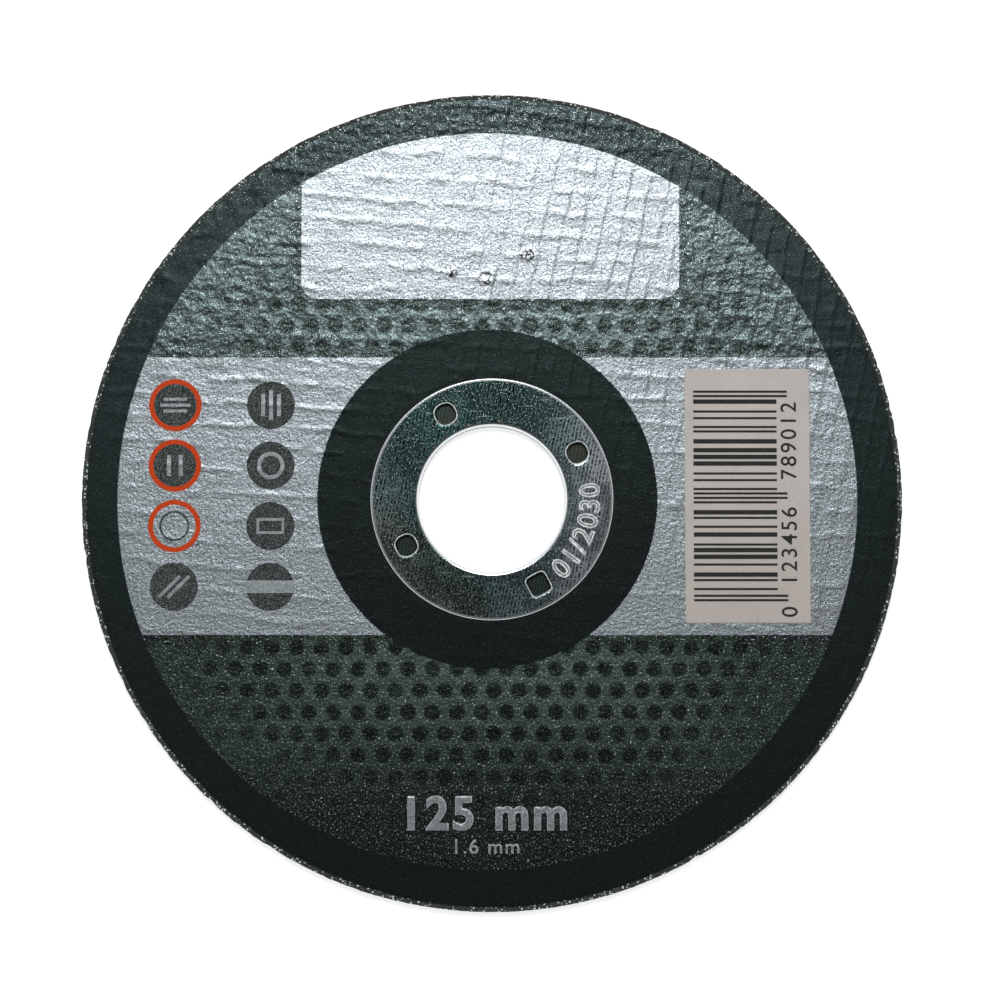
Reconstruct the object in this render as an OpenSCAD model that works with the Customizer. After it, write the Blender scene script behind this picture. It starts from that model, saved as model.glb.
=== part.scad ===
// Flat cut-off wheel: a thin resin-bonded abrasive disc with a metallised paper
// label on its front face and a pressed steel ring that lines the bore.
// The axis is +Z, the back face lies on z = 0 and the label faces up.

/* [Disc] */
// Outside diameter of the wheel
disc_d = 125; // [115:1:180]
// Thickness of the wheel, label included
wheel_t = 1.6; // [1.2:0.1:3]
// Chamfer that breaks both edges of the rim
rim_break = 0.15; // [0.05:0.05:0.3]

/* [Arbor ring] */
// Bore that fits over the spindle flange
bore_d = 22.23; // [20:0.01:24]
// Outside diameter of the ring's flange
flange_d = 37; // [34:0.5:42]
// Thickness of the ring's sheet steel
sheet_t = 0.3; // [0.2:0.05:0.35]
// Radius that rolls the flange into the collar
bore_roll = 0.6; // [0.5:0.05:0.8]
// Rounding of the flange's outer edge
flange_round = 0.2; // [0.05:0.05:0.2]
// Depth that the flange is pressed into the face
seat_depth = 0.15; // [0.05:0.05:0.25]
// Distance from the collar's end to the back face
collar_setback = 0.1; // [0.05:0.05:0.3]
// Clearance between the ring and what it is pressed into
ring_fit = 0.05; // [0.02:0.01:0.1]

/* [Claws] */
// Number of pierced claw holes in the flange
claw_holes = 4; // [3:1:6]
// Angle of the first claw hole from +X
claw_angle = 28.6; // [0:0.1:90]
// Opening of a pierced hole
claw_open_d = 2.9; // [2.4:0.1:3.6]
// Radius that rolls the flange down into a hole
claw_roll = 0.45; // [0.4:0.05:0.6]
// Claws around each hole
claw_points = 4; // [3:1:6]
// Width that each claw keeps at its tip
claw_tip_w = 0.5; // [0.3:0.1:1]
// Abrasive left between a claw's pit and the back face
claw_floor = 0.6; // [0.3:0.1:0.7]

/* [Label] */
// Thickness of the metallised paper
label_t = 0.1; // [0.06:0.01:0.15]
// Bare grain left between the label and the rim
label_margin = 0.8; // [0.4:0.1:2]
// Thickness of one layer of ink
ink_t = 0.02; // [0.01:0.01:0.04]
// Shift of the whole print along X
print_dx = -0.7; // [-1:0.1:1]
// Shift of the whole print along Y
print_dy = 0.1; // [-1:0.1:1]
// Width of the plain dark border
border_w = 5.4; // [3:0.1:8]
// Diameter of the dark print around the ring
hub_print_d = 51.8; // [46:0.1:58]
// Height of the bare silver band
band_h = 42.4; // [34:0.1:50]
// Shift of the band along Y within the print
band_dy = 0.4; // [-2:0.1:2]
// Width of the bare silver panel
panel_w = 57.9; // [40:0.1:70]
// Shift of the panel along X within the print
panel_dx = 0.45; // [-2:0.05:2]
// Height of the dark strip between the band and the panel
panel_gap = 9; // [4:0.1:14]
// Radius of the panel's lower corners
panel_corner_r = 2.8; // [1:0.1:5]

/* [Badges] */
// Outside diameter of an orange ring
badge_ring_d = 8; // [6:0.1:9]
// Line width of an orange ring
badge_line = 0.75; // [0.4:0.05:1.2]
// Diameter of a plain dark badge
badge_disc_d = 7.3; // [6:0.1:9]
// Distance between the two columns of badges
badge_col_pitch = 14.6; // [10:0.1:16]
// Distance between the rows of badges
badge_row_pitch = 9.25; // [9.1:0.05:10]
// Silver left between the outer column and the border
badge_margin = 4.4; // [3:0.1:6]

/* [Sticker] */
// Width of the paper sticker along X
sticker_w = 19; // [14:0.1:22]
// Height of the paper sticker along Y
sticker_h = 38.8; // [30:0.1:42]
// Thickness of the paper sticker
sticker_t = 0.08; // [0.05:0.01:0.12]
// Silver left between the hub print and the sticker
sticker_gap = 4.2; // [2:0.1:6]
// Blank paper beside the bars, towards the axis
bar_margin = 1.3; // [0.5:0.1:3]
// Blank paper above and below the bars
bar_end_margin = 3.3; // [2:0.1:6]
// Strip of paper for digits, away from the axis
digit_strip = 5; // [3:0.1:7]
// Length by which the guard bars reach into the digit strip
guard_reach = 1.6; // [0.5:0.1:2.5]

/* [Hidden] */
$fn = 96;
eps = 0.01;

grain_colour = "#2b2d2d";
paper_colour = "#b4b9bb";
dark_colour = "#20272a";
grey_colour = "#596264";
orange_colour = "#d9752a";
steel_colour = "#858c8f";
sticker_colour = "#d3bfb2";
bar_colour = "#2a2523";

// Heights of the stack, from the back face up
disc_t = wheel_t - label_t;
seat_z = wheel_t - seat_depth;
seat_floor_z = seat_z - label_t;
flange_top = seat_z + sheet_t;

// Radii of the ring and of the recess that holds it
bore_r = bore_d / 2;
flange_r = flange_d / 2;
collar_r = bore_r + sheet_t;
seat_r = flange_r + ring_fit;
seat_wall_r = seat_r + label_t;
hole_r = collar_r + ring_fit;
roll_clear_r = bore_r + bore_roll + ring_fit;

// The claw holes lie midway between the bore and the flange's edge
claw_circle_r = (bore_r + flange_r) / 2;
claw_open_r = claw_open_d / 2;
claw_wall_r = claw_open_r + sheet_t;
claw_pit_r = claw_open_r + claw_roll + ring_fit;
claw_tip_z = claw_floor + ring_fit;

// Circles and edges of the print
label_d = disc_d - 2 * label_margin;
field_d = label_d - 2 * border_w;
panel_y = band_dy + band_h / 2 + panel_gap;

// Badge grid: four rows in two columns, rings in the outer column's first three rows
badge_rows = 4;
ring_rows = 3;
badge_outer_x = badge_margin + badge_ring_d / 2 - field_d / 2;
badge_ground_d = badge_ring_d - 2 * badge_line;

// Sticker and its bars, counted in modules along Y
sticker_x = print_dx + hub_print_d / 2 + sticker_gap;
sticker_y = print_dy + band_dy - sticker_h / 2;
bar_length = sticker_w - bar_margin - digit_strip;
code_modules = 95;
bar_module = (sticker_h - 2 * bar_end_margin) / code_modules;
digit_modules = 7;
digits_per_half = 6;
left_start = 3;
right_start = 50;
guard_starts = [0, 2, 46, 48, 92, 94];

// Modules before, and in, the two bars of made-up digit k
function lead_space(k) = 1 + (5 * k + 1) % 2;
function wide_bar(k) = 1 + (k * k + k / 2) % 2;
function end_bar(k) = 1 + floor(k / 2) % 2;

module in_print() {
  translate([print_dx, print_dy]) children();
}

module at_claw_holes() {
  for (i = [0 : claw_holes - 1])
    rotate(claw_angle + i * 360 / claw_holes) translate([claw_circle_r, 0]) children();
}

// Quarter of a rolled sheet: the sheet turns from level, at height top, down
// to upright, at radius inner, around the outside of a bend of radius roll
module rolled_corner(inner, top, roll) {
  translate([inner + roll, top - roll]) intersection() {
    difference() {
      circle(r = roll);
      circle(r = roll - sheet_t);
    }
    translate([-roll, 0]) square(roll);
  }
}

// Recess in a face for the ring's claws, down to the height floor_z
module claw_pits(floor_z) {
  at_claw_holes() translate([0, 0, floor_z]) cylinder(r = claw_pit_r, h = wheel_t);
}

module disc_profile() {
  disc_r = disc_d / 2;
  roll_relief = roll_clear_r - hole_r;
  polygon([
    [hole_r, 0],
    [disc_r - rim_break, 0],
    [disc_r, rim_break],
    [disc_r, disc_t - rim_break],
    [disc_r - rim_break, disc_t],
    [seat_wall_r, disc_t],
    [seat_wall_r, seat_floor_z],
    [roll_clear_r, seat_floor_z],
    [hole_r, seat_floor_z - roll_relief]
  ]);
}

// The paper lies flat on the disc and is pressed down into the ring's seat
module label_profile() {
  polygon([
    [roll_clear_r, seat_floor_z],
    [seat_wall_r, seat_floor_z],
    [seat_wall_r, disc_t],
    [label_d / 2, disc_t],
    [label_d / 2, wheel_t],
    [seat_r, wheel_t],
    [seat_r, seat_z],
    [roll_clear_r, seat_z]
  ]);
}

module flange_profile() {
  level_r = bore_r + bore_roll;
  edge_r = flange_r - flange_round;
  translate([level_r - eps, seat_z]) square([edge_r - level_r + eps, sheet_t]);
  translate([edge_r - eps, seat_z]) square([flange_round + eps, sheet_t - flange_round]);
  intersection() {
    translate([edge_r, flange_top - flange_round]) circle(r = flange_round);
    translate([edge_r - eps, seat_z]) square([flange_round + eps, sheet_t]);
  }
}

module collar_profile() {
  rolled_corner(bore_r, flange_top, bore_roll);
  translate([bore_r, collar_setback]) square([sheet_t, flange_top - bore_roll - collar_setback + eps]);
}

// One hole punched through the flange: its edge is rolled down into a short
// sleeve, and notches from below leave the claws
module claw_sleeve() {
  notch_half_w = PI * claw_wall_r / claw_points - claw_tip_w / 2;
  difference() {
    rotate_extrude() {
      rolled_corner(claw_open_r, flange_top, claw_roll);
      translate([claw_open_r, claw_tip_z]) square([sheet_t, flange_top - claw_roll - claw_tip_z + eps]);
    }
    for (i = [0 : claw_points - 1])
      rotate((i + 0.5) * 360 / claw_points)
        rotate([90, 0, 90])
          linear_extrude(claw_pit_r)
            polygon([[0, seat_floor_z], [-notch_half_w, claw_tip_z - eps], [notch_half_w, claw_tip_z - eps]]);
  }
}

// The band runs right across the print
module band() {
  translate([0, band_dy]) square([disc_d, band_h], center = true);
}

// The panel has two round lower corners and runs up past the print's edge
module panel() {
  inner_w = panel_w - 2 * panel_corner_r;
  translate([panel_dx, panel_y]) {
    translate([-panel_w / 2, panel_corner_r]) square([panel_w, disc_d / 2]);
    translate([-inner_w / 2, 0]) square([inner_w, disc_d / 2]);
    for (side = [-1, 1])
      translate([side * inner_w / 2, panel_corner_r]) circle(r = panel_corner_r);
  }
}

module at_badge(column, row) {
  translate([
    badge_outer_x + column * badge_col_pitch,
    band_dy + ((badge_rows - 1) / 2 - row) * badge_row_pitch
  ]) children();
}

// The places of the ringed badges, as discs of diameter d
module ringed_badges(d) {
  for (row = [0 : ring_rows - 1])
    at_badge(0, row) circle(d = d);
}

module plain_badges() {
  for (row = [ring_rows : badge_rows - 1])
    at_badge(0, row) circle(d = badge_disc_d);
  for (row = [0 : badge_rows - 1])
    at_badge(1, row) circle(d = badge_disc_d);
}

module sticker_outline() {
  translate([sticker_x, sticker_y]) square([sticker_w, sticker_h]);
}

module dark_areas() {
  difference() {
    union() {
      difference() {
        circle(d = label_d);
        in_print() circle(d = field_d);
      }
      in_print() circle(d = hub_print_d);
      in_print() plain_badges();
    }
    in_print() ringed_badges(badge_ring_d);
    circle(r = seat_r);
    sticker_outline();
  }
  in_print() ringed_badges(badge_ground_d);
}

module grey_areas() {
  difference() {
    in_print() difference() {
      circle(d = field_d);
      band();
      panel();
      circle(d = hub_print_d);
      ringed_badges(badge_ring_d);
      plain_badges();
    }
    sticker_outline();
  }
}

module bar(start, width, reach) {
  translate([bar_margin, bar_end_margin + start * bar_module])
    square([bar_length + reach, width * bar_module]);
}

// Two bars for each digit; the far half mirrors the order of the near half
module code_bars() {
  for (start = guard_starts)
    bar(start, 1, guard_reach);
  for (k = [0 : digits_per_half - 1]) {
    near = left_start + k * digit_modules;
    far = right_start + k * digit_modules;
    bar(near + lead_space(k), wide_bar(k), 0);
    bar(near + digit_modules - end_bar(k), end_bar(k), 0);
    bar(far, end_bar(k), 0);
    bar(far + digit_modules - lead_space(k) - wide_bar(k), wide_bar(k), 0);
  }
}

module abrasive_disc() {
  color(grain_colour) difference() {
    rotate_extrude() disc_profile();
    claw_pits(claw_floor);
  }
}

module label() {
  color(paper_colour) difference() {
    rotate_extrude() label_profile();
    claw_pits(claw_floor);
  }
}

module label_dark_ink() {
  color(dark_colour) translate([0, 0, wheel_t]) linear_extrude(ink_t) dark_areas();
}

module label_grey_ink() {
  color(grey_colour) translate([0, 0, wheel_t]) linear_extrude(ink_t) grey_areas();
}

module label_orange_ink() {
  color(orange_colour) translate([0, 0, wheel_t]) linear_extrude(ink_t) in_print() difference() {
    ringed_badges(badge_ring_d);
    ringed_badges(badge_ground_d);
  }
}

module arbor_ring() {
  color(steel_colour) {
    difference() {
      rotate_extrude() {
        flange_profile();
        collar_profile();
      }
      at_claw_holes() translate([0, 0, seat_z - eps]) cylinder(r = claw_open_r + claw_roll - eps, h = wheel_t);
    }
    at_claw_holes() claw_sleeve();
  }
}

module barcode_sticker() {
  color(sticker_colour) translate([0, 0, wheel_t]) linear_extrude(sticker_t) sticker_outline();
}

module sticker_bars() {
  color(bar_colour) translate([sticker_x, sticker_y, wheel_t + sticker_t]) linear_extrude(ink_t) code_bars();
}

abrasive_disc();
label();
label_dark_ink();
label_grey_ink();
label_orange_ink();
arbor_ring();
barcode_sticker();
sticker_bars();
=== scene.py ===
import math

import bmesh
import bpy
import numpy as np
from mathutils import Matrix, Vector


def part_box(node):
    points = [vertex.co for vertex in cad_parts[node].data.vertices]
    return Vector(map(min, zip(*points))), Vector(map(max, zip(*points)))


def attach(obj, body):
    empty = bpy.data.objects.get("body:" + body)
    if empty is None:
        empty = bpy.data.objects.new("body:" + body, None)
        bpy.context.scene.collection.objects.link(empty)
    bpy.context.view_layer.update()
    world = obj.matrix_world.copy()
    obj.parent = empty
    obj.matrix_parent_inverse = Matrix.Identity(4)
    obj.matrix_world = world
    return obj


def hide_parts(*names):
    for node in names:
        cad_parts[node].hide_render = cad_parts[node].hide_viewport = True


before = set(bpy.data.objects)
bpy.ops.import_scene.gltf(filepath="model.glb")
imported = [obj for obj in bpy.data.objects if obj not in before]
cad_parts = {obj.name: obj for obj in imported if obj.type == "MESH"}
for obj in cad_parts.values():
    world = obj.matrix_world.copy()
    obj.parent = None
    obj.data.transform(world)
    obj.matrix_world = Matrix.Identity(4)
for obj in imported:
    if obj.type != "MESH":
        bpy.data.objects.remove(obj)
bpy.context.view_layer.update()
mm = 0.001

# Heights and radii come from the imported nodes, in millimetres
def nodeBox(node):
    low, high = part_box(node)
    return np.array(low) / mm, np.array(high) / mm

discHigh, labelHigh, ringHigh = (nodeBox(node)[1] for node in ("abrasive_disc", "label", "arbor_ring"))
stickerLow, stickerHigh = nodeBox("barcode_sticker")
barsLow, barsHigh = nodeBox("sticker_bars")

discR = discHigh[0]
discTop = discHigh[2]
labelR = labelHigh[0]
labelTop = labelHigh[2]
flangeR = ringHigh[0]
ringTop = ringHigh[2]
print("frame loaded: disc", round(2 * discR, 2), "mm across, ring top at", round(ringTop, 3), "mm")

# Sizes of the wheel that no node's box gives, in millimetres
wheel = dict(boreR=11.115, sheet=0.3, boreRoll=0.6, ringFit=0.05, labelThickness=0.1, seatDepth=0.15,
             clawHoles=4, clawAngle=28.6, clawOpenR=1.45, clawRoll=0.45, clawFloor=0.6)
filmHeight = 0.008
seatR = flangeR + wheel["ringFit"]
clawCircleR = (wheel["boreR"] + flangeR) / 2

# The print: circles and edges in millimetres from the axis
label = dict(shift=(-0.7, 0.1), fieldR=56.3, hubR=25.9, bandY=0.4, bandHalf=21.2, panelX=0.45,
             panelHalf=28.95, panelY=30.6, panelCorner=2.8, dotPitch=3.74, dotRow=3.275, dotR=1.27,
             dotShift=(0.85, -0.2))


def latticeNoise(x, y, cell, seed):
    # Smooth noise from 0 to 1: random values on a square lattice, blended by a cubic step
    table = np.random.default_rng(seed).random((256, 256))
    gx, gy = x / cell, y / cell
    ix, iy = np.floor(gx).astype(int), np.floor(gy).astype(int)
    fx, fy = gx - ix, gy - iy
    sx, sy = fx * fx * (3 - 2 * fx), fy * fy * (3 - 2 * fy)
    x0, x1, y0, y1 = ix % 256, (ix + 1) % 256, iy % 256, (iy + 1) % 256
    near = table[x0, y0] * (1 - sx) + table[x1, y0] * sx
    far = table[x0, y1] * (1 - sx) + table[x1, y1] * sx
    return near * (1 - sy) + far * sy


def smoothStep(value, low, high):
    t = np.clip((value - low) / (high - low), 0, 1)
    return t * t * (3 - 2 * t)


def gridMesh(name, points, wrapU=False, wrapV=False, smooth=True, rows=None):
    # A grid of points, of shape (u, v, 3) or (copies, u, v, 3) in millimetres, joined into quads.
    # Closed grids are turned to face outwards by their volume, open ones to face up. The yarn rows under
    # each point can be kept with the mesh as a map.
    points = np.asarray(points, float)
    if points.ndim == 3:
        points = points[None]
    copies, nu, nv, _ = points.shape
    i = np.arange(nu if wrapU else nu - 1)[:, None]
    j = np.arange(nv if wrapV else nv - 1)[None, :]
    i1, j1 = (i + 1) % nu, (j + 1) % nv
    quads = np.broadcast_arrays(i * nv + j, i1 * nv + j, i1 * nv + j1, i * nv + j1)
    quads = np.stack(quads, -1).reshape(-1, 4)
    quads = (quads[None] + (np.arange(copies) * nu * nv)[:, None, None]).reshape(-1, 4)
    flat = points.reshape(-1, 3)
    a, b, c, d = (flat[quads[:, k]] for k in range(4))
    facing = np.cross(c - a, d - b)
    turn = np.einsum("ij,ij->", (a + b + c + d) / 4, facing) if wrapU and wrapV else facing[:, 2].sum()
    if turn < 0:
        quads = quads[:, ::-1]
    mesh = bpy.data.meshes.new(name)
    mesh.vertices.add(len(flat))
    mesh.vertices.foreach_set("co", (flat * mm).astype(np.float32).ravel())
    mesh.loops.add(quads.size)
    mesh.loops.foreach_set("vertex_index", quads.astype(np.int32).ravel())
    mesh.polygons.add(len(quads))
    mesh.polygons.foreach_set("loop_start", np.arange(0, quads.size, 4, dtype=np.int32))
    mesh.polygons.foreach_set("use_smooth", np.full(len(quads), smooth))
    mesh.update(calc_edges=True)
    mesh.validate()
    if rows is not None:
        corner = np.empty(len(mesh.loops), np.int32)
        mesh.loops.foreach_get("vertex_index", corner)
        yarns = mesh.uv_layers.new(name="yarns")
        yarns.data.foreach_set("uv", rows.reshape(-1, 2)[corner].astype(np.float32).ravel())
    return mesh


def addPiece(name, mesh, material, replaced=()):
    piece = bpy.data.objects.new(name, mesh)
    bpy.context.scene.collection.objects.link(piece)
    mesh.materials.append(material)
    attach(piece, "root")
    if replaced:
        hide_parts(*replaced)
    return piece


def thicken(piece, thickness):
    # Gives a sheet its thickness, downwards from the surface that was drawn
    wall = piece.modifiers.new("thickness", "SOLIDIFY")
    wall.thickness = thickness * mm
    wall.offset = -1
    return piece


def linear(hexText):
    # sRGB hex to a linear colour with alpha 1
    parts = np.array([int(hexText[k:k + 2], 16) for k in (1, 3, 5)]) / 255
    return (*np.where(parts <= 0.04045, parts / 12.92, ((parts + 0.055) / 1.055) ** 2.4), 1.0)


def addNode(tree, kind, settings=None, inputs=None):
    # Adds a node, sets its options, and links or sets each input by name or number
    node = tree.nodes.new(kind)
    for key, value in (settings or {}).items():
        setattr(node, key, value)
    for key, value in (inputs or {}).items():
        if isinstance(value, bpy.types.NodeSocket):
            tree.links.new(value, node.inputs[key])
        else:
            node.inputs[key].default_value = value
    return node.outputs


def newMaterial(name, constants):
    # A material with its Principled shader, whose constant sockets are set directly
    material = bpy.data.materials.new(name)
    material.use_nodes = True
    tree = material.node_tree
    shader = tree.nodes["Principled BSDF"]
    for key, value in constants.items():
        shader.inputs[key].default_value = value
    return material, tree, shader


mathNode = "ShaderNodeMath"
vectorNode = "ShaderNodeVectorMath"
rangeNode = "ShaderNodeMapRange"
mixNode = "ShaderNodeMix"
noiseNode = "ShaderNodeTexNoise"
cellNode = "ShaderNodeTexVoronoi"
bumpNode = "ShaderNodeBump"
coordNode = "ShaderNodeTexCoord"
mappingNode = "ShaderNodeMapping"
splitNode = "ShaderNodeSeparateXYZ"
smoothRange = {"interpolation_type": "SMOOTHSTEP"}
colourMix = {"data_type": "RGBA"}

# Relief that the woven glass mesh presses through the paper, in millimetres
press = dict(pitch=3.62, weftTilt=-4.0, warpPitch=2.9, warpLean=11.0, weftHeight=0.052, warpHeight=0.043,
             lump=0.026, drop=0.2, tearHeight=0.05,
             tears=((-0.95, 34.1, 1.2), (5.47, 37.5, 0.9), (-6.0, 34.9, 0.5)))


def yarnRows(along, across, pitch, wander, seed):
    # Rows of one set of yarns, wandering with slow and quick noise: the row as a running number, and
    # each row's own strong and weak stretches along it
    slow = latticeNoise(along, across, 15, seed) - 0.5
    quick = latticeNoise(along, across, 3.1, seed + 1) - 0.5
    row = (across + wander * (slow + 0.45 * quick)) / pitch
    stretch = smoothStep(latticeNoise(along, np.floor(row) * 2.4, 2.4, seed + 2), 0.25, 0.75)
    return row, stretch


def weftRows(x, y, pitch, seed):
    tilt = math.radians(press["weftTilt"])
    along, across = x * math.cos(tilt) + y * math.sin(tilt), y * math.cos(tilt) - x * math.sin(tilt)
    return yarnRows(along, across, pitch, 1.7, seed)


def warpRows(x, y):
    lean = math.radians(press["warpLean"])
    return yarnRows(x * math.sin(lean) + y * math.cos(lean), x * math.cos(lean) - y * math.sin(lean),
                    press["warpPitch"], 0.9, 13)


def pressRelief(x, y):
    # A basket weave. Weft rows fall a little to the right: one round ridge to a pitch, highest in the
    # middle of each warp yarn, and weak ridges between. Warp yarns lean to the right: each pillow rises
    # across its row and drops at a narrow furrow. Soft lumps of noise lie over both. All of it is stronger
    # towards the top of the print and beside the panel, and weaker round the ring and on the border.
    row, stretch = weftRows(x, y, press["pitch"], 3)
    step = row - np.floor(row)
    weft = np.exp(-((step - 0.45) / 0.13) ** 2) * (0.10 + 0.90 * stretch)
    row, stretch = weftRows(x, y, press["pitch"] / 2, 53)
    weft += 0.15 * np.exp(-((row - np.floor(row) - 0.45) / 0.22) ** 2) * stretch
    row, stretch = warpRows(x, y)
    step = row - np.floor(row)
    weft *= 0.5 + 0.5 * np.sin(np.pi * step)
    warp = (step - smoothStep(step, 1 - press["drop"], 1)) * (0.25 + 0.75 * stretch)
    warp *= 0.95 + 0.15 * smoothStep(x, -12, 15)
    lumps = 0.6 * smoothStep(latticeNoise(x, y, 1.9, 8), 0.35, 0.8) + 0.4 * latticeNoise(x, y, 0.95, 9)
    panelEdge = label["panelHalf"]
    beside = smoothStep(np.abs(x - label["panelX"]), panelEdge - 2, panelEdge + 2) * smoothStep(y, 14, 26)
    height = press["weftHeight"] * weft + press["warpHeight"] * warp
    height += press["lump"] * (1 + 0.8 * beside) * lumps
    height *= (0.40 + 0.60 * smoothStep(y, -25, 25)) * (0.45 + 0.55 * smoothStep(np.hypot(x, y), 24, 28))
    fromPrint = np.hypot(x - label["shift"][0], y - label["shift"][1])
    outside = smoothStep(fromPrint, label["fieldR"] - 1, label["fieldR"] + 1)
    height *= (1 + 0.7 * beside) * (1 - 0.6 * outside * (1 - smoothStep(y, 38, 55)))
    for tearX, tearY, size in press["tears"]:
        apart = np.hypot(x - tearX, (y - tearY) * 1.3) + 0.6 * (latticeNoise(x, y, 0.7, 10) - 0.5)
        height += press["tearHeight"] * np.exp(-((apart - size) / 0.3) ** 2)
    return np.clip(height, 0, ringTop - labelTop - filmHeight - 0.030)


def faceHeight(x, y):
    # Height of the printed face: flat at the seat and at the paper's edge, embossed between
    radius = np.hypot(x, y)
    fade = smoothStep(radius, seatR, seatR + 0.8) * (1 - smoothStep(radius, labelR - 0.5, labelR))
    return labelTop + filmHeight + fade * pressRelief(x, y)


def printedPaper():
    # Metallised paper, pressed on a woven mesh and printed: a silver sheen with grain that
    # sparkles, under dark inks that let some of the sparkle through
    paper = dict(silver="#cfd9de", flake="#f3f9ff", shadow="#62757b", pepper="#3f474c", bandShade=0.16,
                 grey="#576866", mid="#667876", dot="#2a3733", low="#53655b", lowDot="#151f19",
                 foot="#1a2820", dark="#1f2a29", border="#293434", rust="#33291f", flakeSize=0.22, edge=0.05,
                 jitter=0.16, screenPitch=0.42, blister=0.4, pit=0.35)
    material, tree, shader = newMaterial("metallised paper pressed and printed", {"IOR": 1.5})
    coords = addNode(tree, coordNode)["Object"]
    place = addNode(tree, mappingNode, None, {
        "Vector": coords, "Location": (-label["shift"][0], -label["shift"][1], 0),
        "Scale": (1000, 1000, 0)})["Vector"]
    split = addNode(tree, splitNode, None, {0: place})
    grain = addNode(tree, noiseNode, {"noise_dimensions": "2D"}, {
        "Vector": place, "Scale": 1 / paper["flakeSize"], "Detail": 2.0, "Roughness": 0.7})["Fac"]
    jitter = addNode(tree, mathNode, {"operation": "MULTIPLY_ADD"}, {
        0: grain, 1: 2 * paper["jitter"], 2: -paper["jitter"]})[0]
    rough = addNode(tree, noiseNode, {"noise_dimensions": "2D"}, {
        "Vector": place, "Scale": 1.1, "Detail": 2.0})["Fac"]
    edge = paper["edge"]

    # Inside is 1 within a distance, with a slightly ragged edge
    radius = addNode(tree, vectorNode, {"operation": "LENGTH"}, {0: place})["Value"]
    ragged = addNode(tree, mathNode, {"operation": "ADD"}, {0: radius, 1: jitter})[0]
    field = addNode(tree, rangeNode, smoothRange, {
        "Value": ragged, "From Min": label["fieldR"] - edge, "From Max": label["fieldR"] + edge,
        "To Min": 1.0, "To Max": 0.0})[0]
    offHub = addNode(tree, rangeNode, smoothRange, {
        "Value": ragged, "From Min": label["hubR"] - edge, "From Max": label["hubR"] + edge})[0]

    # Distance outside the band, then outside the panel with its round lower corners
    fromBand = addNode(tree, mathNode, {"operation": "SUBTRACT"}, {0: split["Y"], 1: label["bandY"]})[0]
    fromBand = addNode(tree, mathNode, {"operation": "ABSOLUTE"}, {0: fromBand})[0]
    fromBand = addNode(tree, mathNode, {"operation": "SUBTRACT"}, {0: fromBand, 1: label["bandHalf"]})[0]
    panelSide = addNode(tree, mathNode, {"operation": "SUBTRACT"}, {0: split["X"], 1: label["panelX"]})[0]
    panelSide = addNode(tree, mathNode, {"operation": "ABSOLUTE"}, {0: panelSide})[0]
    panelSide = addNode(tree, mathNode, {"operation": "SUBTRACT"}, {
        0: panelSide, 1: label["panelHalf"] - label["panelCorner"]})[0]
    panelFoot = addNode(tree, mathNode, {"operation": "SUBTRACT"}, {
        0: label["panelY"] + label["panelCorner"], 1: split["Y"]})[0]
    corner = addNode(tree, "ShaderNodeCombineXYZ", None, {0: panelSide, 1: panelFoot})[0]
    corner = addNode(tree, vectorNode, {"operation": "MAXIMUM"}, {0: corner, 1: (0, 0, 0)})["Vector"]
    corner = addNode(tree, vectorNode, {"operation": "LENGTH"}, {0: corner})["Value"]
    inside = addNode(tree, mathNode, {"operation": "MAXIMUM"}, {0: panelSide, 1: panelFoot})[0]
    inside = addNode(tree, mathNode, {"operation": "MINIMUM"}, {0: inside, 1: 0.0})[0]
    fromPanel = addNode(tree, mathNode, {"operation": "ADD"}, {0: corner, 1: inside})[0]
    fromPanel = addNode(tree, mathNode, {"operation": "SUBTRACT"}, {0: fromPanel, 1: label["panelCorner"]})[0]
    fromSilver = addNode(tree, mathNode, {"operation": "MINIMUM"}, {0: fromBand, 1: fromPanel})[0]
    raggedSilver = addNode(tree, mathNode, {"operation": "MULTIPLY_ADD"}, {
        0: jitter, 1: 0.6, 2: fromSilver})[0]
    bare = addNode(tree, rangeNode, smoothRange, {
        "Value": raggedSilver, "From Min": -edge, "From Max": edge, "To Min": 1.0, "To Max": 0.0})[0]
    inField = addNode(tree, mathNode, {"operation": "MULTIPLY"}, {0: field, 1: offHub})[0]
    silver = addNode(tree, mathNode, {"operation": "MULTIPLY"}, {0: inField, 1: bare})[0]

    # Dots on two interleaved lattices; they fade towards the edge of the print
    cell = (label["dotPitch"] / 2, label["dotRow"], 1)
    cellLow = tuple(-c for c in cell)
    lattice = addNode(tree, vectorNode, {"operation": "ADD"}, {
        0: place, 1: (*label["dotShift"], 0)})["Vector"]
    near = addNode(tree, vectorNode, {"operation": "WRAP"}, {0: lattice, 1: cell, 2: cellLow})["Vector"]
    near = addNode(tree, vectorNode, {"operation": "LENGTH"}, {0: near})["Value"]
    shifted = addNode(tree, vectorNode, {"operation": "ADD"}, {
        0: lattice, 1: (cell[0], cell[1], 0)})["Vector"]
    far = addNode(tree, vectorNode, {"operation": "WRAP"}, {0: shifted, 1: cell, 2: cellLow})["Vector"]
    far = addNode(tree, vectorNode, {"operation": "LENGTH"}, {0: far})["Value"]
    dotRadius = addNode(tree, mathNode, {"operation": "MINIMUM"}, {0: near, 1: far})[0]
    dotRadius = addNode(tree, mathNode, {"operation": "ADD"}, {0: dotRadius, 1: jitter})[0]
    dots = addNode(tree, rangeNode, smoothRange, {
        "Value": dotRadius, "From Min": label["dotR"] - 0.34, "From Max": label["dotR"] + 0.24,
        "To Min": 1.0, "To Max": 0.0})[0]
    farUp = addNode(tree, mathNode, {"operation": "MULTIPLY"}, {0: split["Y"], 1: -0.78})[0]
    farUp = addNode(tree, mathNode, {"operation": "MAXIMUM"}, {0: split["Y"], 1: farUp})[0]
    fade = addNode(tree, rangeNode, smoothRange, {
        "Value": farUp, "From Min": 30.0, "From Max": 46.0, "To Min": 1.0, "To Max": 0.0})[0]
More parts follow.
